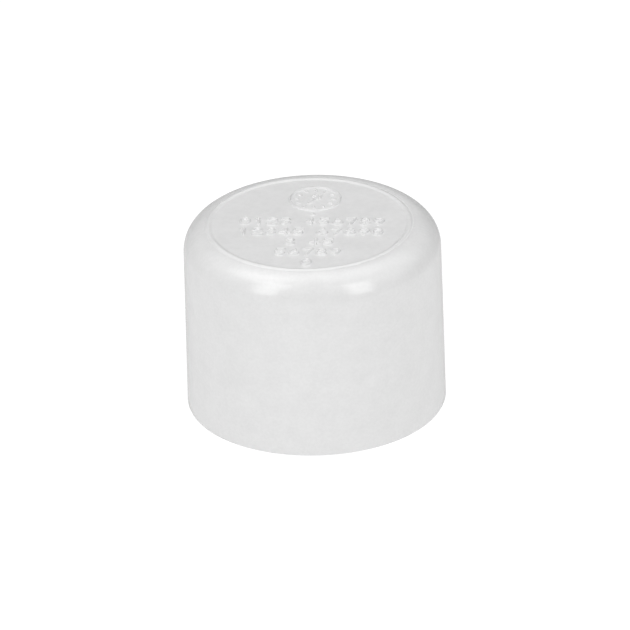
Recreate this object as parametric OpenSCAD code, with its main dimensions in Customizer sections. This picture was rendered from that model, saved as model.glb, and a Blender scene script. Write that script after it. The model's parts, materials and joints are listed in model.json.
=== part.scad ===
// Slip-socket pipe cap, half-inch size: a moulded cup with a drafted skirt, a rounded
// shoulder and a flat closed end that carries fine raised moulding marks.
// The cap stands on its open rim: z = 0 is the rim, +Z points to the closed end.

/* [Outside] */
// Outer diameter across the open rim
cap_od = 28.0; // [24.5:0.1:60]
// Height from the open rim to the flat of the closed end
cap_height = 20.9; // [16:0.1:60]
// Mould draft of the skirt, in degrees
skirt_draft = 0.45; // [0:0.05:1.5]
// Radius of the rounded shoulder
shoulder_r = 2.9; // [1:0.1:4.5]
// Bevel on the outer edge of the open rim
rim_bevel = 0.2; // [0.05:0.05:0.8]

/* [Socket] */
// Diameter of the straight part of the socket, where the pipe grips
socket_d = 21.3; // [12:0.05:24.5]
// Extra diameter of the socket at its mouth
mouth_extra = 0.24; // [0.1:0.02:0.6]
// Depth over which the mouth tapers down to the straight part
lead_depth = 7.0; // [3:0.5:10]
// Bevel that guides the pipe in at the mouth
mouth_bevel = 0.6; // [0.2:0.1:1]
// Radius between the socket wall and the stop face
stop_fillet = 0.5; // [0.2:0.1:1.5]
// Thickness of the closed end, from the stop face to the outer flat
end_wall = 3.44; // [2:0.02:6]

/* [Witness line] */
// Width of the fine raised line around the flat of the closed end
bead_w = 0.6; // [0.2:0.05:0.8]
// Height of that line
bead_h = 0.1; // [0.05:0.01:0.3]

/* [Raised marks] */
// Height of the raised marks
mark_h = 0.2; // [0.1:0.05:0.6]
// Space between the outermost mark and the witness line
mark_margin = 0.24; // [0.1:0.02:3]
// Distance between two rows of marks
row_pitch = 2.4; // [1.9:0.1:3]
// Place of the first row, measured from the axis
first_row_y = 0.35; // [-0.5:0.05:1]
// Height of one character space
cell_h = 1.7; // [1:0.1:1.9]
// Width of one character space
cell_w = 1.2; // [0.8:0.1:1.4]
// Distance between two character spaces
cell_pitch = 1.48; // [1.3:0.02:1.9]
// Rounding of a character space's corners
cell_r = 0.3; // [0.1:0.05:0.4]
// Gap between the two groups in a row, on top of the normal space
group_gap = 1.1; // [0.5:0.1:1.4]
// Outer radius of the date dial
dial_r = 2.9; // [2:0.1:3.5]
// Distance from the axis to the dial's centre
dial_y = 5.75; // [5:0.05:6.5]
// Width of the dial's ring and of its pointer
dial_line = 0.34; // [0.2:0.02:0.6]
// Number of ticks around the dial
tick_n = 12; // [4:1:16]
// Length of one tick
tick_l = 0.55; // [0.3:0.05:0.7]
// Radius of the pip between the first row and the dial
pip_r = 0.26; // [0.1:0.02:0.4]

/* [Hidden] */
$fn = 96;
eps = 1;
pvc = [0.90, 0.90, 0.89];
pvc_mark = [0.94, 0.94, 0.93];
// groups of character spaces in each row, from the first row to the last
groups = [[4, 6], [5, 5], [1, 2], [5], [1]];

rim_r = cap_od / 2;
socket_r = socket_d / 2;
mouth_r = socket_r + mouth_extra / 2;
socket_depth = cap_height - end_wall;
shoulder_z = cap_height - shoulder_r;
top_r = rim_r - shoulder_z * tan(skirt_draft);
flat_r = top_r - shoulder_r;
bead_r = flat_r - bead_w / 2;
function total(v, i = 0) = i == len(v) ? 0 : v[i] + total(v, i + 1);
function row_y(i) = first_row_y - i * row_pitch;
// length of a row between the centres of its first and last character spaces
function row_len(g) = (total(g) - 1) * cell_pitch + (len(g) - 1) * group_gap;
// centre of each character space along its row
function cell_x(g) = [for (j = [0 : len(g) - 1], k = [0 : g[j] - 1])
    ((j == 0 ? 0 : g[0]) + k) * cell_pitch + j * group_gap - row_len(g) / 2];
// farthest that the dial or any row reaches from the axis, before scaling
reach = max(dial_y + dial_r, max([for (i = [0 : len(groups) - 1])
    norm([(row_len(groups[i]) + cell_w) / 2, abs(row_y(i)) + cell_h / 2])]));
// the whole layout is scaled in plan to sit inside the witness line
fit = (flat_r - bead_w - mark_margin) / reach;

// half profile of the outside, drawn in x = radius, y = height
module outside() {
    polygon([[0, 0], [rim_r - rim_bevel, 0],
             [rim_r - rim_bevel * tan(skirt_draft), rim_bevel], [top_r, shoulder_z],
             [0, shoulder_z]]);
    square([flat_r, cap_height]);
    intersection() {
        translate([flat_r, shoulder_z]) circle(r = shoulder_r);
        translate([flat_r - 0.01, shoulder_z - 0.01])
            square([shoulder_r + 0.02, shoulder_r + 0.02]);
    }
}

// half profile of the space that the pipe fills
module socket_space() {
    polygon([[0, -eps], [mouth_r + mouth_bevel + eps, -eps], [mouth_r, mouth_bevel],
             [socket_r, lead_depth], [socket_r, socket_depth - stop_fillet],
             [socket_r - stop_fillet, socket_depth - stop_fillet],
             [socket_r - stop_fillet, socket_depth], [0, socket_depth]]);
    translate([socket_r - stop_fillet, socket_depth - stop_fillet]) circle(r = stop_fillet);
}

module cap_body() {
    color(pvc) rotate_extrude() difference() {
        outside();
        socket_space();
    }
}

module witness_bead() {
    color(pvc_mark) translate([0, 0, cap_height]) rotate_extrude()
        polygon([[bead_r - bead_w / 2, 0], [bead_r + bead_w / 2, 0],
                 [bead_r + bead_w / 5, bead_h], [bead_r - bead_w / 5, bead_h]]);
}

// places a mark on the flat of the closed end
module on_flat(x, y) {
    translate([x, y, cap_height]) children();
}

// flat pad with rounded corners, the blank of one character
module pad(w, h, r) {
    linear_extrude(mark_h) union() {
        square([w - 2 * r, h], center = true);
        square([w, h - 2 * r], center = true);
        for (sx = [-1, 1], sy = [-1, 1])
            translate([sx * (w / 2 - r), sy * (h / 2 - r)]) circle(r = r);
    }
}

module mark_row(i) {
    color(pvc_mark) for (x = cell_x(groups[i]))
        on_flat(x * fit, row_y(i) * fit) pad(cell_w * fit, cell_h * fit, cell_r * fit);
}

module dial_ring() {
    color(pvc_mark) on_flat(0, dial_y * fit) difference() {
        cylinder(r = dial_r * fit, h = mark_h);
        translate([0, 0, -eps]) cylinder(r = (dial_r - dial_line) * fit, h = mark_h + 2 * eps);
    }
}

module dial_ticks() {
    tick_mid = (dial_r - 2 * dial_line) * fit - tick_l * fit / 2;
    color(pvc_mark) on_flat(0, dial_y * fit) for (k = [0 : tick_n - 1])
        rotate(k * 360 / tick_n) translate([tick_mid, 0, mark_h / 2])
            cube([tick_l * fit, dial_line * 0.7 * fit, mark_h], center = true);
}

module dial_pointer() {
    tip = (dial_r - 3 * dial_line - tick_l) * fit;
    w = dial_line * fit;
    color(pvc_mark) on_flat(0, dial_y * fit) rotate(-30) linear_extrude(mark_h)
        polygon([[-w / 2, -tip], [w / 2, -tip], [w / 2, 0], [1.6 * w, 0], [0, tip],
                 [-1.6 * w, 0], [-w / 2, 0]]);
}

// small round pip, midway between the first row and the dial
module pip_mark() {
    pip_y = (first_row_y + cell_h / 2 + dial_y - dial_r) / 2;
    color(pvc_mark) on_flat(0, pip_y * fit) cylinder(r = pip_r * fit, h = mark_h);
}

cap_body();
witness_bead();
dial_ring();
dial_ticks();
dial_pointer();
pip_mark();
mark_row(0);  // row_1
mark_row(1);  // row_2
mark_row(2);  // row_3
mark_row(3);  // row_4
mark_row(4);  // row_5
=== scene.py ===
import json
import math

import bpy
import numpy as np
from mathutils import Matrix, Quaternion, Vector

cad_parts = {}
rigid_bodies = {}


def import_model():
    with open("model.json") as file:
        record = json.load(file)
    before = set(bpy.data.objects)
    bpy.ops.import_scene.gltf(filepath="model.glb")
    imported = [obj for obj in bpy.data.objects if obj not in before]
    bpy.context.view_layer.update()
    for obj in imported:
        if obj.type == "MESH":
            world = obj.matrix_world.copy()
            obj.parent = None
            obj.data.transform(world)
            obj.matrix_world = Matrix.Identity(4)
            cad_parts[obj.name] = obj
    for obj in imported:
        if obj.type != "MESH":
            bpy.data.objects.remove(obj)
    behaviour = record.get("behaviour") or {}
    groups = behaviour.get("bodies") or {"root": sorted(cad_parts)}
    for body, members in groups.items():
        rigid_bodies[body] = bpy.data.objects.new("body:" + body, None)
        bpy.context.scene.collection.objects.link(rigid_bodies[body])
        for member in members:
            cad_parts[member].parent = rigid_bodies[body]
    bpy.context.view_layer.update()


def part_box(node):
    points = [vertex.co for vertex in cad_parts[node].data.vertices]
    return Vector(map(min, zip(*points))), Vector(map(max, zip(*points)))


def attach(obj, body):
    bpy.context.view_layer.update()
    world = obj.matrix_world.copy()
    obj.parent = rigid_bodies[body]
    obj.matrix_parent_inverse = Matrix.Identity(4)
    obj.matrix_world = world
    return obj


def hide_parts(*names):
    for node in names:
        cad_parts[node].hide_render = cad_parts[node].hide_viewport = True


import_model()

# Slip-socket pipe cap in white rigid PVC, standing on its open rim.
# Sizes below are in millimetres; every mesh is made in metres.
MM = 0.001

# ---------------------------------------------------------------- sizes of the moulding
body_low, body_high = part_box("cap_body")
CAP_HEIGHT = body_high.z / MM
RIM_R = (body_high.x - body_low.x) / 2 / MM
SKIRT_DRAFT = math.radians(0.45)
SHOULDER_R = 2.9
RIM_BEVEL = 0.2
RIM_CORNER = 0.06
SOCKET_R = 10.65
MOUTH_R = 10.77
LEAD_DEPTH = 7.0
MOUTH_BEVEL = 0.6
STOP_FILLET = 0.5
END_WALL = 3.44
SOCKET_DEPTH = CAP_HEIGHT - END_WALL
SHOULDER_Z = CAP_HEIGHT - SHOULDER_R
TOP_R = RIM_R - SHOULDER_Z * math.tan(SKIRT_DRAFT)
FLAT_R = TOP_R - SHOULDER_R
# witness ring round the flat: height, widths of its two slopes, how far its outer slope falls
# away with the shoulder, and how deep its foot is buried
WITNESS_H = 0.11
WITNESS_IN, WITNESS_OUT = 0.44, 0.46
WITNESS_FALL, WITNESS_ROOT = 0.08, 0.16
WITNESS_R = FLAT_R - 0.12
# the insert that forms the flat sits a little off the cavity's axis, to the left and the front
WITNESS_SHIFT = (-0.28, -0.15)

# raised marks: strokes cut into the mould with a tapered, round-nosed engraving cutter
MARK_H = 0.2
STROKE_FOOT = 0.18
STROKE_TOP = 0.02
# rows of digits: how many stand in each group of a row, and the places of the rows
ROW_GROUPS = [(4, 6), (5, 5), (1, 2), (5,), (1,)]
FIRST_ROW_Y = 0.35
ROW_PITCH = 2.4
ROW_Y = [FIRST_ROW_Y - ROW_PITCH * i for i in range(len(ROW_GROUPS))]
CELL_PITCH = 1.48
GROUP_GAP = 1.1
DIAL_Y = 5.75
DIAL_R = 2.73
DIAL_RIM_H = MARK_H - 0.03
TICKS = 12
TICK_HALF = 0.14
TICK_R = DIAL_R - 0.72
TICK_STROKE = {"foot": 0.17, "top": 0.03, "height": 0.15}
PIP_Y = 2.02
PIP_STROKE = {"foot": 0.3, "top": 0.06}
FIRST_DIGIT = [0, 1, 3, 5, 0]
POINTER = [[(-0.62, -1.0), (0.55, 0.95)], [(0.5, 0.1), (0.55, 0.95), (-0.2, 0.62)]]
# a mark's foot dips this far under the flat, so the two skins cross instead of touching
FOOT_SINK = 0.004
MARK_ROOT = 0.03

# the turned shell: steps round the axis, a path well inside the profile to sweep along, the
# gap that is welded shut at the axis, and a hair's width for telling heights apart
SEGMENTS = 288
PATH_R = 8.0
WELD_GAP = 0.002
HAIR = 0.01
# the wall's unevenness: how far it swings, the size of its waves, and the height under which
# the wall stays true; the flat stays true as well
SINK_DEPTH = 0.03
SINK_SIZE = 5.0
STEADY_Z = 0.8

# ---------------------------------------------------------------- studio
CENTRE = Vector((0, 0, CAP_HEIGHT / 2)) * MM
CAMERA_LENS = 529.6
CAMERA_DISTANCE = 1.0
CAMERA_AZIMUTH = 4.5
CAMERA_ELEVATION = 27.3
CAMERA_ROLL = -1.735
FRAME_RIGHT = 0.08
FRAME_UP = -0.576
# light table and tent: glow and white of the table, size of both, and the tent's facets
FLOOR_GLOW = 0.93
FLOOR_WHITE = "#6C6C6C"
STAGE_R = 1250
TENT_SIDES = 72
TENT_FOOT = -2.0
TENT_STEP = 7.5
# the table lies a hair below the rim, so that their two faces never share a plane
TABLE_GAP = 0.02
# glow that the skirt mirrors from under the table: deep below, and out at the horizon
UNDER_GLOW = 0.62
UNDER_EDGE = 0.24
# how far down the rays point where that glow starts to fade and where it is down to its edge,
# and how softly the room meets it at the horizon, all as the ray's fall over its length
FADE_START = -0.44
FADE_END = -0.14
HORIZON_BLUR = 0.03
# softbox: name, azimuths of its two sides, elevations of its foot and top, brightness
SOFTBOXES = [
    ("left_softbox", -51.5, -27.0, 8, 61, 3.1),
    ("right_softbox", 35.5, 58.0, 2, 49, 3.27),
]
SOFTBOX_DISTANCE = 0.45
# watts for each square metre of lamp and unit of brightness
LAMP_UNIT = math.pi
# soft glow on the walls and ceiling: azimuth, elevation, half width, brightness
ROOM_GLOWS = [
    (-96, 44, 47, 0.33), (100, 46, 45, 0.7), (180, 74, 37, 1.42), (-84, 61, 25, 2.4),
]


# ---------------------------------------------------------------- small helpers
def linear(hex_colour):
    """An sRGB hex colour as linear red, green, blue and alpha."""
    parts = [int(hex_colour[i : i + 2], 16) / 255 for i in (1, 3, 5)]
    return [c / 12.92 if c <= 0.04045 else ((c + 0.055) / 1.055) ** 2.4 for c in parts] + [1.0]


def add(tree, kind, inputs=None, **settings):
    """Adds one node, with its settings, and sets or links its inputs."""
    made = tree.nodes.new(kind)
    for name, value in settings.items():
        setattr(made, name, value)
    for name, value in (inputs or {}).items():
        if isinstance(value, bpy.types.NodeSocket):
            tree.links.new(value, made.inputs[name])
        else:
            made.inputs[name].default_value = value
    return made


def new_object(name, verts, faces=(), edges=(), smooth=True):
    """A mesh object at the origin, from millimetre points."""
    mesh = bpy.data.meshes.new(name)
    mesh.from_pydata([Vector(v) * MM for v in verts], list(edges), [list(f) for f in faces])
    if smooth:
        mesh.shade_smooth()
    made = bpy.data.objects.new(name, mesh)
    bpy.context.scene.collection.objects.link(made)
    return made


def geometry_tree(name, sizes):
    """A Geometry Nodes tree with named inputs; returns it with its group input and output."""
    tree = bpy.data.node_groups.new(name, "GeometryNodeTree")
    face = tree.interface
    face.new_socket("Geometry", in_out="INPUT", socket_type="NodeSocketGeometry")
    face.new_socket("Geometry", in_out="OUTPUT", socket_type="NodeSocketGeometry")
    for label, kind in sizes.items():
        face.new_socket(label, in_out="INPUT", socket_type="NodeSocket" + kind)
    return tree, tree.nodes.new("NodeGroupInput"), tree.nodes.new("NodeGroupOutput")


def grow(obj, tree, values):
    """Runs a Geometry Nodes tree on an object and keeps the result as its plain mesh."""
    mod = obj.modifiers.new(tree.name, "NODES")
    mod.node_group = tree
    for item in tree.interface.items_tree:
        if item.item_type == "SOCKET" and item.in_out == "INPUT" and item.name in values:
            mod[item.identifier] = values[item.name]
    graph = bpy.context.evaluated_depsgraph_get()
    mesh = bpy.data.meshes.new_from_object(obj.evaluated_get(graph), depsgraph=graph)
    obj.modifiers.clear()
    while mesh.materials and mesh.materials[0] is None:
        mesh.materials.pop(index=0)
    old, obj.data = obj.data, mesh
    bpy.data.meshes.remove(old)
    mesh.name = obj.name
    return obj


# ---------------------------------------------------------------- materials
# shared by the three finishes: IOR of the plastic, size of the slow drift in its white and
# gloss, how far the gloss swings, how dark and light the specks are, and the draw lines'
# width, with that width as a share of their length
PVC_IOR = 1.53
DRIFT_MM = 2.2
GLOSS_SPREAD = (-0.04, 0.05)
SPECK_SHADE = (0.975, 1.015)
DRAW_LINE_MM = 0.25
DRAW_LINE_STRETCH = 0.03


def moulded_upvc(name, colour, rough, grain_mm, grain_depth, grain_detail, draw_lines=0.0):
    """Injection moulded unplasticised PVC with titanium white, in one mould surface's finish."""
    mat = bpy.data.materials.new(name)
    mat.use_nodes = True
    tree = mat.node_tree
    tree.nodes.clear()
    place = add(tree, "ShaderNodeTexCoord").outputs["Object"]
    # slow drift in the white pigment, a few millimetres across, and in the gloss
    drift = add(tree, "ShaderNodeTexNoise", {"Vector": place, "Scale": 1 / (DRIFT_MM * MM),
                                             "Detail": 3.0, "Roughness": 0.55}).outputs["Fac"]
    # the texture of the steel that the plastic set against: it makes specks and a fine relief
    grain = add(tree, "ShaderNodeTexNoise", {"Vector": place, "Scale": 1 / (grain_mm * MM),
                                             "Detail": grain_detail,
                                             "Roughness": 0.6}).outputs["Fac"]
    tone = add(tree, "ShaderNodeMix", {"Factor": drift}, data_type="RGBA")
    tone.inputs["A"].default_value = linear(colour[0])
    tone.inputs["B"].default_value = linear(colour[1])
    speck = add(tree, "ShaderNodeMapRange", {"Value": grain, "From Min": 0.3, "From Max": 0.7,
                                             "To Min": SPECK_SHADE[0],
                                             "To Max": SPECK_SHADE[1]})
    shade = add(tree, "ShaderNodeVectorMath", {0: tone.outputs["Result"]}, operation="SCALE")
    tree.links.new(speck.outputs["Result"], shade.inputs["Scale"])
    gloss = add(tree, "ShaderNodeMapRange", {"Value": drift, "From Min": 0.3, "From Max": 0.7,
                                             "To Min": rough + GLOSS_SPREAD[0],
                                             "To Max": rough + GLOSS_SPREAD[1]})
    height = grain
    if draw_lines:
        # fine lines along the core's travel, closer together round the bore than along it
        along = add(tree, "ShaderNodeMapping", {"Vector": place,
                                                "Scale": (1, 1, DRAW_LINE_STRETCH)})
        lines = add(tree, "ShaderNodeTexNoise", {"Vector": along.outputs["Vector"],
                                                 "Scale": 1 / (DRAW_LINE_MM * MM),
                                                 "Detail": 3.0})
        height = add(tree, "ShaderNodeMath", {0: lines.outputs["Fac"], 1: draw_lines, 2: grain},
                     operation="MULTIPLY_ADD").outputs["Value"]
    bump = add(tree, "ShaderNodeBump", {"Height": height, "Strength": 1.0,
                                        "Distance": grain_depth * MM})
    skin = add(tree, "ShaderNodeBsdfPrincipled", {
        "Base Color": shade.outputs["Vector"], "Roughness": gloss.outputs["Result"],
        "Normal": bump.outputs["Normal"], "IOR": PVC_IOR})
    add(tree, "ShaderNodeOutputMaterial", {"Surface": skin.outputs["BSDF"]})
    return mat


# the steel's real texture is too fine to show at this size, so all three grains are coarser
# skirt and shoulder, from a fine spark-eroded cavity: satin highlights with a close, soft grain
cavity_upvc = moulded_upvc("upvc_spark_eroded_cavity", ("#E6E6E6", "#F0F0F0"), rough=0.17,
                           grain_mm=0.34, grain_depth=0.0045, grain_detail=2.0)
# closed end and its marks, from a ground insert: plainer and duller, with soft reflections
insert_upvc = moulded_upvc("upvc_ground_insert", ("#E7E7E7", "#F0F0F0"), rough=0.33,
                           grain_mm=0.7, grain_depth=0.003, grain_detail=2.0)
# socket, from a polished core: smoother, with faint lines along the way the core was drawn out
core_upvc = moulded_upvc("upvc_polished_core", ("#E8E8E8", "#ECECEC"), rough=0.2,
                         grain_mm=0.6, grain_depth=0.002, grain_detail=3.0, draw_lines=0.8)


# ---------------------------------------------------------------- shell, turned from one profile
def arc_points(cx, cz, r, start, end, steps):
    """Points on a circle arc in the half profile, angles in degrees from the radius axis."""
    return [(cx + r * math.cos(math.radians(a)), cz + r * math.sin(math.radians(a)))
            for a in np.linspace(start, end, steps + 1)]


def straight(a, b, steps):
    """Points between two profile points, without the ends."""
    return [(a[0] + (b[0] - a[0]) * k / steps, a[1] + (b[1] - a[1]) * k / steps)
            for k in range(1, steps)]


def shell_profile():
    """Half profile (radius, height), from the flat's centre round to the stop face's centre."""
    skirt_foot = (RIM_R - RIM_BEVEL * math.tan(SKIRT_DRAFT), RIM_BEVEL)
    # each run of points, and the number of steps on to the next run
    runs = [
        ([(0.0, CAP_HEIGHT)], 14),
        ([(FLAT_R - 0.5, CAP_HEIGHT)], 3),
        (arc_points(FLAT_R, SHOULDER_Z, SHOULDER_R, 90, 0, 26), 24),
        ([skirt_foot, (RIM_R - RIM_CORNER, RIM_CORNER), (RIM_R - RIM_BEVEL, 0.0)], 4),
        ([(MOUTH_R + MOUTH_BEVEL, 0.0)], 2),
        ([(MOUTH_R, MOUTH_BEVEL)], 10),
        ([(SOCKET_R, LEAD_DEPTH)], 12),
        (arc_points(SOCKET_R - STOP_FILLET, SOCKET_DEPTH - STOP_FILLET, STOP_FILLET, 0, 90, 6), 10),
        ([(0.0, SOCKET_DEPTH)], 0),
    ]
    points = []
    for k, (run, steps) in enumerate(runs):
        points += run
        if steps:
            points += straight(run[-1], runs[k + 1][0][0], steps)
    return points


def turning_tree():
    """Turns a half profile round the Z axis, with the slight unevenness of a moulded wall."""
    tree, given, result = geometry_tree("turned_moulding", {
        "Segments": "Int", "Path radius": "Float", "Sink depth": "Float",
        "Sink size": "Float", "Seed": "Float", "Flat radius": "Float", "Top height": "Float",
        "Core radius": "Float", "Core height": "Float", "Cavity finish": "Material",
        "Insert finish": "Material", "Core finish": "Material"})
    take = given.outputs
    path = add(tree, "GeometryNodeCurvePrimitiveCircle",
               {"Resolution": take["Segments"], "Radius": take["Path radius"]})
    outline = add(tree, "GeometryNodeMeshToCurve", {"Mesh": take["Geometry"]})
    spun = add(tree, "GeometryNodeCurveToMesh", {"Curve": path.outputs["Curve"],
                                                 "Profile Curve": outline.outputs["Curve"]})
    welded = add(tree, "GeometryNodeMergeByDistance", {"Geometry": spun.outputs["Mesh"],
                                                       "Distance": WELD_GAP * MM})
    size = add(tree, "ShaderNodeMath", {0: 1.0, 1: take["Sink size"]}, operation="DIVIDE")
    place = add(tree, "GeometryNodeInputPosition")
    wave = add(tree, "ShaderNodeTexNoise", {"Vector": place.outputs["Position"], "W": take["Seed"],
                                            "Scale": size.outputs["Value"], "Detail": 1.0},
               noise_dimensions="4D")
    depth = add(tree, "ShaderNodeMath", {0: wave.outputs["Fac"], 1: 0.5}, operation="SUBTRACT")
    push = add(tree, "ShaderNodeMath", {0: depth.outputs["Value"], 1: take["Sink depth"]},
               operation="MULTIPLY")
    normal = add(tree, "GeometryNodeInputNormal")
    shift = add(tree, "ShaderNodeVectorMath", {0: normal.outputs["Normal"]}, operation="SCALE")
    tree.links.new(push.outputs["Value"], shift.inputs["Scale"])
    # nothing moves on the rim, the mouth and the flat: they touch or carry other surfaces
    height = add(tree, "ShaderNodeSeparateXYZ", {"Vector": place.outputs["Position"]})
    above = add(tree, "ShaderNodeMath", {0: height.outputs["Z"], 1: STEADY_Z * MM},
                operation="GREATER_THAN")
    below = add(tree, "ShaderNodeMath", {0: height.outputs["Z"], 1: (CAP_HEIGHT - HAIR) * MM},
                operation="LESS_THAN")
    free = add(tree, "ShaderNodeMath", {0: above.outputs["Value"], 1: below.outputs["Value"]},
               operation="MULTIPLY")
    moved = add(tree, "GeometryNodeSetPosition", {"Geometry": welded.outputs["Geometry"],
                                                  "Selection": free.outputs["Value"],
                                                  "Offset": shift.outputs["Vector"]})
    # finish of each face: core inside the socket, insert on the flat, cavity everywhere else
    flattened = add(tree, "ShaderNodeVectorMath", {0: place.outputs["Position"], 1: (1, 1, 0)},
                    operation="MULTIPLY")
    radius = add(tree, "ShaderNodeVectorMath", {0: flattened.outputs["Vector"]},
                 operation="LENGTH").outputs["Value"]
    over_flat = add(tree, "ShaderNodeMath", {0: take["Flat radius"], 1: radius},
                    operation="GREATER_THAN")
    at_top = add(tree, "ShaderNodeMath", {0: height.outputs["Z"], 1: take["Top height"]},
                 operation="GREATER_THAN")
    on_flat = add(tree, "ShaderNodeMath", {0: over_flat.outputs["Value"],
                                           1: at_top.outputs["Value"]}, operation="MULTIPLY")
    in_mouth = add(tree, "ShaderNodeMath", {0: take["Core radius"], 1: radius},
                   operation="GREATER_THAN")
    to_stop = add(tree, "ShaderNodeMath", {0: take["Core height"], 1: height.outputs["Z"]},
                  operation="GREATER_THAN")
    in_core = add(tree, "ShaderNodeMath", {0: in_mouth.outputs["Value"],
                                           1: to_stop.outputs["Value"]}, operation="MULTIPLY")
    whole = add(tree, "GeometryNodeSetShadeSmooth", {"Geometry": moved.outputs["Geometry"]})
    real = add(tree, "GeometryNodeRealizeInstances", {"Geometry": whole.outputs["Geometry"]})
    coat = add(tree, "GeometryNodeSetMaterial", {"Geometry": real.outputs["Geometry"],
                                                 "Material": take["Cavity finish"]})
    flat = add(tree, "GeometryNodeSetMaterial", {"Geometry": coat.outputs["Geometry"],
                                                 "Selection": on_flat.outputs["Value"],
                                                 "Material": take["Insert finish"]})
    core = add(tree, "GeometryNodeSetMaterial", {"Geometry": flat.outputs["Geometry"],
                                                 "Selection": in_core.outputs["Value"],
                                                 "Material": take["Core finish"]})
    tree.links.new(core.outputs["Geometry"], result.inputs["Geometry"])
    return tree


def make_shell():
    """The whole moulded cup, with its three mould finishes, as one closed skin."""
    points = shell_profile()
    # Curve to Mesh hangs a profile below its path, so heights go in upside down
    verts = [(r - PATH_R, -z, 0.0) for r, z in points]
    made = new_object("cap_shell", verts, edges=[(k, k + 1) for k in range(len(verts) - 1)])
    return grow(made, turning_tree(), {
        "Segments": SEGMENTS, "Path radius": PATH_R * MM, "Sink depth": SINK_DEPTH * MM,
        "Sink size": SINK_SIZE * MM, "Seed": 3.0, "Flat radius": FLAT_R * MM,
        "Top height": (CAP_HEIGHT - HAIR / 10) * MM, "Core radius": (MOUTH_R + MOUTH_BEVEL) * MM,
        "Core height": (SOCKET_DEPTH + HAIR) * MM, "Cavity finish": cavity_upvc,
        "Insert finish": insert_upvc, "Core finish": core_upvc})


# ---------------------------------------------------------------- raised marks
def ridge_height(distance, foot=STROKE_FOOT, top=STROKE_TOP, height=MARK_H):
    """Height of an engraved-and-moulded stroke at a distance from its centre line."""
    t = np.clip((foot - distance) / (foot - top), 0, 1)
    return height * t * t * (3 - 2 * t)


def stroke_arc(cx, cy, rx, ry, start, end, steps=14):
    """Points on an arc of an ellipse on the flat, angles in degrees."""
    return [(cx + rx * math.cos(math.radians(a)), cy + ry * math.sin(math.radians(a)))
            for a in np.linspace(start, end, steps + 1)]


# half the width and half the height of a digit, and the centre lines of the digits 0 to 9
WIDE, TALL = 0.48, 0.70
DIGITS = [
    [stroke_arc(0, 0, WIDE, TALL, 0, 360, 32)],
    [[(-0.22, 0.42), (0.06, TALL), (0.06, -TALL)]],
    [stroke_arc(0, TALL - WIDE, WIDE, WIDE, 165, -25) + [(-WIDE, -TALL), (WIDE, -TALL)]],
    [stroke_arc(-0.03, 0.33, 0.38, 0.33, 150, -90), stroke_arc(-0.03, -0.33, 0.42, 0.33, 90, -150)],
    [[(0.2, -TALL), (0.2, TALL), (-WIDE, -0.24), (WIDE + 0.04, -0.24)]],
    [[(WIDE - 0.05, TALL), (-WIDE + 0.08, TALL), (-WIDE + 0.03, 0.1)]
     + stroke_arc(-0.02, -0.24, 0.44, 0.42, 115, -150)],
    [stroke_arc(0.0, -0.26, WIDE, 0.4, 0, 360, 26), stroke_arc(0.32, -0.2, 0.72, 0.86, 110, 180)],
    [[(-WIDE, TALL), (WIDE, TALL), (-0.12, -TALL)]],
    [stroke_arc(0, 0.34, 0.36, 0.32, 0, 360, 24), stroke_arc(0, -0.3, WIDE, 0.36, 0, 360, 26)],
    [stroke_arc(0.0, 0.26, WIDE, 0.4, 0, 360, 26), stroke_arc(-0.32, 0.2, 0.72, 0.86, -70, 0)],
]


def raised(name, strokes, grid=0.035, foot=STROKE_FOOT, top=STROKE_TOP, height=MARK_H):
    """A closed low relief of round-nosed strokes, which runs out smoothly into the flat."""
    ends = [(a, b) for line in strokes for a, b in zip(line, line[1:] or line)]
    a = np.array([e[0] for e in ends], float)
    step = np.array([e[1] for e in ends], float) - a
    low, high = a.min(0) - foot - grid, (a + step).max(0) + foot + grid
    low = np.minimum(low, (a + step).min(0) - foot - grid)
    high = np.maximum(high, a.max(0) + foot + grid)
    nx, ny = (int(math.ceil(v / grid)) + 1 for v in high - low)
    px, py = np.meshgrid(low[0] + np.arange(nx) * grid, low[1] + np.arange(ny) * grid,
                         indexing="ij")
    at = np.stack([px, py], -1)[:, :, None, :]
    share = np.clip(((at - a) * step).sum(-1) / np.maximum((step**2).sum(-1), 1e-12), 0, 1)
    away = np.linalg.norm(at - a - share[..., None] * step, axis=-1).min(-1)
    rise = ridge_height(away, foot, top, height)
    inside = rise > FOOT_SINK / 4
    cells = inside[:-1, :-1] | inside[1:, :-1] | inside[:-1, 1:] | inside[1:, 1:]
    # cells that meet only at a corner get a neighbour, so no edge has four faces
    for k in (0, 1):
        one, other = cells[:-1, k : k - 1 or None], cells[1:, 1 - k : -k or None]
        lone = one & other & ~cells[1:, k : k - 1 or None] & ~cells[:-1, 1 - k : -k or None]
        cells[1:, k : k - 1 or None] |= lone
    used = np.zeros_like(inside)
    for dx in (0, 1):
        for dy in (0, 1):
            used[dx : dx + nx - 1, dy : dy + ny - 1] |= cells
    number = np.full(used.shape, -1)
    number[used] = np.arange(used.sum())
    count = int(used.sum())
    upper = np.stack([px[used], py[used], rise[used] - FOOT_SINK], -1)
    lower = np.stack([px[used], py[used], np.full(count, -MARK_ROOT)], -1)
    faces, sides = [], {}
    for i, j in zip(*np.nonzero(cells)):
        quad = [int(number[i, j]), int(number[i + 1, j]), int(number[i + 1, j + 1]),
                int(number[i, j + 1])]
        faces.append(quad)
        faces.append([v + count for v in reversed(quad)])
        for u, v in zip(quad, quad[1:] + quad[:1]):
            if (v, u) in sides:
                del sides[(v, u)]
            else:
                sides[(u, v)] = True
    faces += [[v, u, u + count, v + count] for u, v in sides]
    return new_object(name, np.concatenate([upper, lower]), faces)


def on_the_flat(obj):
    """Moves a finished mesh up to the flat of the closed end."""
    obj.data.transform(Matrix.Translation((0, 0, CAP_HEIGHT * MM)))
    return obj


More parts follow.
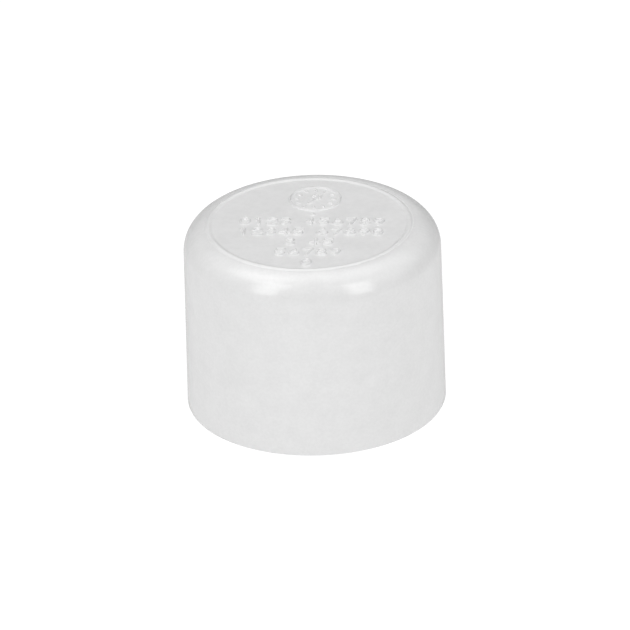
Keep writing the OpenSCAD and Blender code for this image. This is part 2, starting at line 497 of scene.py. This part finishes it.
def row_tree():
    """Sets counting digits along one row, in one or two groups, centred on the axis."""
    tree, given, result = geometry_tree("row_of_digits", {
        "Digits": "Collection", "Count": "Int", "First group": "Int", "Pitch": "Float",
        "Group gap": "Float", "Row place": "Float", "First digit": "Int",
        "Finish": "Material"})
    take = given.outputs
    step = add(tree, "ShaderNodeCombineXYZ", {"X": take["Pitch"]})
    line = add(tree, "GeometryNodeMeshLine", {"Count": take["Count"],
                                              "Offset": step.outputs["Vector"]})
    index = add(tree, "GeometryNodeInputIndex").outputs["Index"]
    second = add(tree, "FunctionNodeCompare", {2: index, 3: take["First group"]},
                 data_type="INT", operation="GREATER_EQUAL")
    split = add(tree, "FunctionNodeCompare", {2: take["First group"], 3: take["Count"]},
                data_type="INT", operation="LESS_THAN")
    last = add(tree, "ShaderNodeMath", {0: take["Count"], 1: 1.0}, operation="SUBTRACT")
    span = add(tree, "ShaderNodeMath", {0: last.outputs["Value"], 1: take["Pitch"]},
               operation="MULTIPLY")
    gap = add(tree, "ShaderNodeMath", {0: split.outputs["Result"], 1: take["Group gap"]},
              operation="MULTIPLY")
    length = add(tree, "ShaderNodeMath", {0: span.outputs["Value"], 1: gap.outputs["Value"]},
                 operation="ADD")
    half = add(tree, "ShaderNodeMath", {0: length.outputs["Value"], 1: -0.5}, operation="MULTIPLY")
    along = add(tree, "ShaderNodeMath", {0: second.outputs["Result"], 1: take["Group gap"],
                                         2: half.outputs["Value"]}, operation="MULTIPLY_ADD")
    offset = add(tree, "ShaderNodeCombineXYZ", {"X": along.outputs["Value"],
                                                "Y": take["Row place"]})
    placed = add(tree, "GeometryNodeSetPosition", {"Geometry": line.outputs["Mesh"],
                                                   "Offset": offset.outputs["Vector"]})
    which = add(tree, "ShaderNodeMath", {0: index, 1: take["First digit"]}, operation="ADD")
    digit = add(tree, "ShaderNodeMath", {0: which.outputs["Value"], 1: 10.0}, operation="MODULO")
    masters = add(tree, "GeometryNodeCollectionInfo", {"Collection": take["Digits"],
                                                       "Separate Children": True,
                                                       "Reset Children": True})
    set_out = add(tree, "GeometryNodeInstanceOnPoints", {
        "Points": placed.outputs["Geometry"], "Instance": masters.outputs["Instances"],
        "Pick Instance": True, "Instance Index": digit.outputs["Value"]})
    real = add(tree, "GeometryNodeRealizeInstances", {"Geometry": set_out.outputs["Instances"]})
    coat = add(tree, "GeometryNodeSetMaterial", {"Geometry": real.outputs["Geometry"],
                                                 "Material": take["Finish"]})
    tree.links.new(coat.outputs["Geometry"], result.inputs["Geometry"])
    return tree


def make_rows():
    """The five rows of raised counting digits."""
    masters = bpy.data.collections.new("digit_masters")
    bpy.context.scene.collection.children.link(masters)
    for k, strokes in enumerate(DIGITS):
        digit = raised(f"digit_{k}", strokes)
        bpy.context.scene.collection.objects.unlink(digit)
        masters.objects.link(digit)
    tree = row_tree()
    rows = []
    for k, groups in enumerate(ROW_GROUPS):
        row = new_object(f"raised_row_{k + 1}", [(0, 0, 0)])
        grow(row, tree, {"Digits": masters, "Count": sum(groups), "First group": groups[0],
                         "Pitch": CELL_PITCH * MM, "Group gap": GROUP_GAP * MM,
                         "Row place": ROW_Y[k] * MM, "First digit": FIRST_DIGIT[k],
                         "Finish": insert_upvc})
        rows.append(on_the_flat(row))
    for digit in list(masters.objects):
        bpy.data.objects.remove(digit)
    bpy.data.collections.remove(masters)
    return rows


# length of the waves in a ridge's size, and how far along the ring a burr may stray, in radians
UNEVEN_MM = 1.6
BURR_STRAY = 0.5


def ridge_profile(inner, outer, height, fall, root, steps=9):
    """Closed cross-section of a ridge round a circle; its outer slope can fall below the flat."""
    rise = np.sin(np.linspace(0, np.pi / 2, steps + 1)) ** 2 * height - FOOT_SINK
    inside = [(-inner * (1 - k / steps), z) for k, z in enumerate(rise)]
    outside = [(outer * (1 - k / steps), z - fall * (1 - k / steps) ** 2)
               for k, z in enumerate(rise[:-1])]
    return inside + outside[::-1] + [(outer, -root), (-inner, -root)]


def ring_tree():
    """A ridge round a circle, a little uneven in size, with small burrs along it."""
    tree, given, result = geometry_tree("ridge_round_a_circle", {
        "Radius": "Float", "Segments": "Int", "Unevenness": "Float", "Burrs": "Int",
        "Burr size": "Float", "Seed": "Int", "Finish": "Material"})
    take = given.outputs
    path = add(tree, "GeometryNodeCurvePrimitiveCircle",
               {"Resolution": take["Segments"], "Radius": take["Radius"]})
    place = add(tree, "GeometryNodeInputPosition")
    wave = add(tree, "ShaderNodeTexNoise", {"Vector": place.outputs["Position"],
                                            "W": take["Seed"], "Scale": 1 / (UNEVEN_MM * MM),
                                            "Detail": 2.0}, noise_dimensions="4D")
    depth = add(tree, "ShaderNodeMath", {0: wave.outputs["Fac"], 1: 0.5}, operation="SUBTRACT")
    thick = add(tree, "ShaderNodeMath", {0: depth.outputs["Value"], 1: take["Unevenness"],
                                         2: 1.0}, operation="MULTIPLY_ADD")
    uneven = add(tree, "GeometryNodeSetCurveRadius", {"Curve": path.outputs["Curve"],
                                                      "Radius": thick.outputs["Value"]})
    outline = add(tree, "GeometryNodeMeshToCurve", {"Mesh": take["Geometry"]})
    swept = add(tree, "GeometryNodeCurveToMesh", {"Curve": uneven.outputs["Curve"],
                                                  "Profile Curve": outline.outputs["Curve"],
                                                  "Scale": thick.outputs["Value"]})
    spots = add(tree, "GeometryNodeCurveToPoints", {"Curve": path.outputs["Curve"],
                                                    "Count": take["Burrs"]}, mode="COUNT")
    turn = add(tree, "FunctionNodeRandomValue", {2: -BURR_STRAY, 3: BURR_STRAY,
                                                 "Seed": take["Seed"]})
    about = add(tree, "ShaderNodeVectorRotate", {"Vector": place.outputs["Position"],
                                                 "Angle": turn.outputs[1]},
                rotation_type="Z_AXIS")
    spread = add(tree, "GeometryNodeSetPosition", {"Geometry": spots.outputs["Points"],
                                                   "Position": about.outputs["Vector"]})
    lump = add(tree, "GeometryNodeMeshUVSphere", {"Segments": 10, "Rings": 6,
                                                  "Radius": take["Burr size"]})
    size = add(tree, "FunctionNodeRandomValue", {0: (0.7, 0.7, 0.5), 1: (1.4, 1.4, 0.9),
                                                 "Seed": take["Seed"]},
               data_type="FLOAT_VECTOR")
    burrs = add(tree, "GeometryNodeInstanceOnPoints", {
        "Points": spread.outputs["Geometry"], "Instance": lump.outputs["Mesh"],
        "Scale": size.outputs["Value"]})
    joined = add(tree, "GeometryNodeJoinGeometry")
    tree.links.new(burrs.outputs["Instances"], joined.inputs["Geometry"])
    tree.links.new(swept.outputs["Mesh"], joined.inputs["Geometry"])
    soft = add(tree, "GeometryNodeSetShadeSmooth", {"Geometry": joined.outputs["Geometry"]})
    real = add(tree, "GeometryNodeRealizeInstances", {"Geometry": soft.outputs["Geometry"]})
    coat = add(tree, "GeometryNodeSetMaterial", {"Geometry": real.outputs["Geometry"],
                                                 "Material": take["Finish"]})
    tree.links.new(coat.outputs["Geometry"], result.inputs["Geometry"])
    return tree


def ridge_ring(name, tree, radius, section, values):
    """A raised ring on the flat, from its radius and the sizes of its cross-section."""
    verts = [(x, -z, 0.0) for x, z in ridge_profile(*section)]
    edges = [(k, (k + 1) % len(verts)) for k in range(len(verts))]
    made = new_object(name, verts, edges=edges)
    return on_the_flat(grow(made, tree, {"Radius": radius * MM, "Segments": SEGMENTS,
                                         "Finish": insert_upvc} | values))


def tick_tree():
    """Repeats one tick round the dial."""
    tree, given, result = geometry_tree("ticks_round_a_dial", {
        "Count": "Int", "Radius": "Float", "Finish": "Material"})
    take = given.outputs
    path = add(tree, "GeometryNodeCurvePrimitiveCircle",
               {"Resolution": take["Count"], "Radius": take["Radius"]})
    spots = add(tree, "GeometryNodeCurveToPoints", {"Curve": path.outputs["Curve"],
                                                    "Count": take["Count"]}, mode="COUNT")
    place = add(tree, "GeometryNodeInputPosition")
    facing = add(tree, "FunctionNodeAlignRotationToVector", {"Vector": place.outputs["Position"]},
                 axis="X", pivot_axis="Z")
    ticks = add(tree, "GeometryNodeInstanceOnPoints", {
        "Points": spots.outputs["Points"], "Instance": take["Geometry"],
        "Rotation": facing.outputs["Rotation"]})
    real = add(tree, "GeometryNodeRealizeInstances", {"Geometry": ticks.outputs["Instances"]})
    coat = add(tree, "GeometryNodeSetMaterial", {"Geometry": real.outputs["Geometry"],
                                                 "Material": take["Finish"]})
    tree.links.new(coat.outputs["Geometry"], result.inputs["Geometry"])
    return tree


def make_dial(rings):
    """Plain date dial: ring, ticks and pointer."""
    ring = ridge_ring("dial_rim", rings, DIAL_R,
                      (STROKE_FOOT, STROKE_FOOT, DIAL_RIM_H, 0.0, MARK_ROOT),
                      {"Unevenness": 0.1, "Burrs": 0, "Burr size": 0.01 * MM, "Seed": 5})
    tick = raised("dial_tick_marks", [[(-TICK_HALF, 0), (TICK_HALF, 0)]], **TICK_STROKE)
    grow(tick, tick_tree(), {"Count": TICKS, "Radius": TICK_R * MM, "Finish": insert_upvc})
    pointer = raised("dial_arrow", POINTER)
    pointer.data.materials.append(insert_upvc)
    on_the_flat(tick)
    on_the_flat(pointer)
    for piece in (ring, tick, pointer):
        piece.data.transform(Matrix.Translation((0, DIAL_Y * MM, 0)))
    return ring, tick, pointer


shell = make_shell()
rings = ring_tree()
witness = ridge_ring("witness_line", rings, WITNESS_R,
                     (WITNESS_IN, WITNESS_OUT, WITNESS_H, WITNESS_FALL, WITNESS_ROOT),
                     {"Unevenness": 0.6, "Burrs": 9, "Burr size": 0.06 * MM, "Seed": 2})
witness.data.transform(Matrix.Translation(Vector((*WITNESS_SHIFT, 0)) * MM))
dial_rim, dial_ticks, dial_arrow = make_dial(rings)
pip = raised("pip", [[(0, 0)]], **PIP_STROKE)
pip.data.materials.append(insert_upvc)
pip.data.transform(Matrix.Translation((0, PIP_Y * MM, 0)))
on_the_flat(pip)
rows = make_rows()

for piece, node, slot in [
    (shell, "cap_body", "pvc"), (witness, "witness_bead", "pvc_marks"),
    (dial_rim, "dial_ring", "pvc_marks"), (dial_ticks, "dial_ticks", "pvc_marks"),
    (dial_arrow, "dial_pointer", "pvc_marks"), (pip, "pip_mark", "pvc_marks"),
    *[(row, f"row_{k + 1}", "pvc_marks") for k, row in enumerate(rows)],
]:
    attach(piece, "root")
    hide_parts(node)


# ---------------------------------------------------------------- floor, light and camera
def glowing(name, glow, white):
    """Matt white plastic, lit evenly from behind."""
    mat = bpy.data.materials.new(name)
    mat.use_nodes = True
    skin = mat.node_tree.nodes["Principled BSDF"]
    skin.inputs["Base Color"].default_value = linear(white)
    skin.inputs["Roughness"].default_value = 0.9
    skin.inputs["Specular IOR Level"].default_value = 0.0
    skin.inputs["Emission Color"].default_value = linear("#FFFFFF")
    skin.inputs["Emission Strength"].default_value = glow
    return mat


def make_stage():
    """A light table, and a plain white tent that stands round it."""
    around = [math.radians(a) for a in range(0, 360, 360 // TENT_SIDES)]
    rim = [(STAGE_R * math.cos(a), STAGE_R * math.sin(a), -TABLE_GAP) for a in around]
    table = new_object("light_table", rim, [range(len(rim))], smooth=False)
    table.data.materials.append(glowing("opal_acrylic_lit_sheet", FLOOR_GLOW, FLOOR_WHITE))
    table.visible_glossy = False
    verts, faces, n = [], [], len(around)
    # the cloth hangs a little below the table, so that no gap shows between them
    for k, e in enumerate(np.radians([TENT_FOOT, *np.arange(TENT_STEP, 90, TENT_STEP)])):
        verts += [(STAGE_R * math.cos(e) * math.cos(a), STAGE_R * math.cos(e) * math.sin(a),
                   STAGE_R * math.sin(e)) for a in around]
        if k:
            faces += [((k - 1) * n + (i + 1) % n, (k - 1) * n + i, k * n + i, k * n + (i + 1) % n)
                      for i in range(n)]
    verts.append((0, 0, STAGE_R))
    top = len(verts) - 1
    faces += [(k * n + (i + 1) % n, k * n + i, top) for i in range(n)]
    tent = new_object("white_tent", verts, faces, smooth=False)
    tent.data.materials.append(glowing("white_tent_cloth", 1.0, "#000000"))
    # the tent is only what stands behind the cap: the lamps outside it do the lighting
    for way in ("diffuse", "glossy", "transmission", "volume_scatter", "shadow"):
        setattr(tent, "visible_" + way, False)
    return table, tent


def aim(azimuth, elevation):
    """Unit vector from the cap towards an azimuth (0 in front, 90 on the right) and elevation."""
    a, e = math.radians(azimuth), math.radians(elevation)
    return Vector((math.sin(a) * math.cos(e), -math.cos(a) * math.cos(e), math.sin(e)))


def softbox(name, left, right, foot, top, brightness):
    """A rectangular diffuser that faces the cap and covers the given angles."""
    way = aim((left + right) / 2, (foot + top) / 2)
    middle = math.cos(math.radians((foot + top) / 2))
    light = bpy.data.lights.new(name, "AREA")
    light.shape = "RECTANGLE"
    light.size = 2 * SOFTBOX_DISTANCE * math.tan(math.radians((right - left) / 2)) * middle
    light.size_y = 2 * SOFTBOX_DISTANCE * math.tan(math.radians((top - foot) / 2))
    light.energy = brightness * LAMP_UNIT * light.size * light.size_y
    lamp = bpy.data.objects.new(name, light)
    lamp.location = CENTRE + way * SOFTBOX_DISTANCE
    lamp.rotation_euler = way.to_track_quat("Z", "Y").to_euler()
    bpy.context.scene.collection.objects.link(lamp)


def make_room():
    """Studio surroundings: a dark room with soft patches of light on its walls and ceiling."""
    world = bpy.data.worlds.new("studio_room")
    bpy.context.scene.world = world
    world.use_nodes = True
    tree = world.node_tree
    tree.nodes.clear()
    way = add(tree, "ShaderNodeTexCoord").outputs["Generated"]
    total = 0.0
    for azimuth, elevation, half_width, brightness in ROOM_GLOWS:
        near = add(tree, "ShaderNodeVectorMath", {0: way, 1: aim(azimuth, elevation)},
                   operation="DOT_PRODUCT")
        patch = add(tree, "ShaderNodeMapRange", {
            "Value": near.outputs["Value"], "From Min": math.cos(math.radians(half_width)),
            "From Max": 1.0, "To Min": 0.0, "To Max": brightness},
            interpolation_type="SMOOTHSTEP")
        total = add(tree, "ShaderNodeMath", {0: patch.outputs["Result"], 1: total},
                    operation="ADD").outputs["Value"]
    # under the table there is only a glow that fades out to the horizon
    split = add(tree, "ShaderNodeSeparateXYZ", {"Vector": way})
    above = add(tree, "ShaderNodeMapRange", {
        "Value": split.outputs["Z"], "From Min": -HORIZON_BLUR, "From Max": HORIZON_BLUR},
        interpolation_type="SMOOTHSTEP")
    low = add(tree, "ShaderNodeMapRange", {
        "Value": split.outputs["Z"], "From Min": FADE_START, "From Max": FADE_END,
        "To Min": UNDER_GLOW, "To Max": UNDER_EDGE}, interpolation_type="SMOOTHSTEP")
    level = add(tree, "ShaderNodeMix", {"Factor": above.outputs["Result"],
                                        "A": low.outputs["Result"], "B": total})
    back = add(tree, "ShaderNodeBackground", {"Strength": level.outputs["Result"]})
    back.inputs["Color"].default_value = (1, 1, 1, 1)
    add(tree, "ShaderNodeOutputWorld", {"Surface": back.outputs["Background"]})


def make_camera():
    """A long lens, aimed at the cap's middle and then slid a little in its own frame."""
    data = bpy.data.cameras.new("camera")
    data.sensor_width = 36.0
    data.lens = CAMERA_LENS
    data.clip_start, data.clip_end = 0.05, 5.0
    cam = bpy.data.objects.new("camera", data)
    bpy.context.scene.collection.objects.link(cam)
    back = aim(CAMERA_AZIMUTH, CAMERA_ELEVATION)
    turn = (-back).to_track_quat("-Z", "Y") @ Quaternion((0, 0, 1), math.radians(CAMERA_ROLL))
    right, up = turn @ Vector((1, 0, 0)), turn @ Vector((0, 1, 0))
    cam.rotation_mode = "QUATERNION"
    cam.rotation_quaternion = turn
    cam.location = (CENTRE + back * CAMERA_DISTANCE
                    + right * FRAME_RIGHT * MM + up * FRAME_UP * MM)
    bpy.context.scene.camera = cam


for piece in make_stage():
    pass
make_room()
for box in SOFTBOXES:
    softbox(*box)
make_camera()
look = bpy.context.scene.view_settings
look.view_transform = "Standard"
look.look = "None"
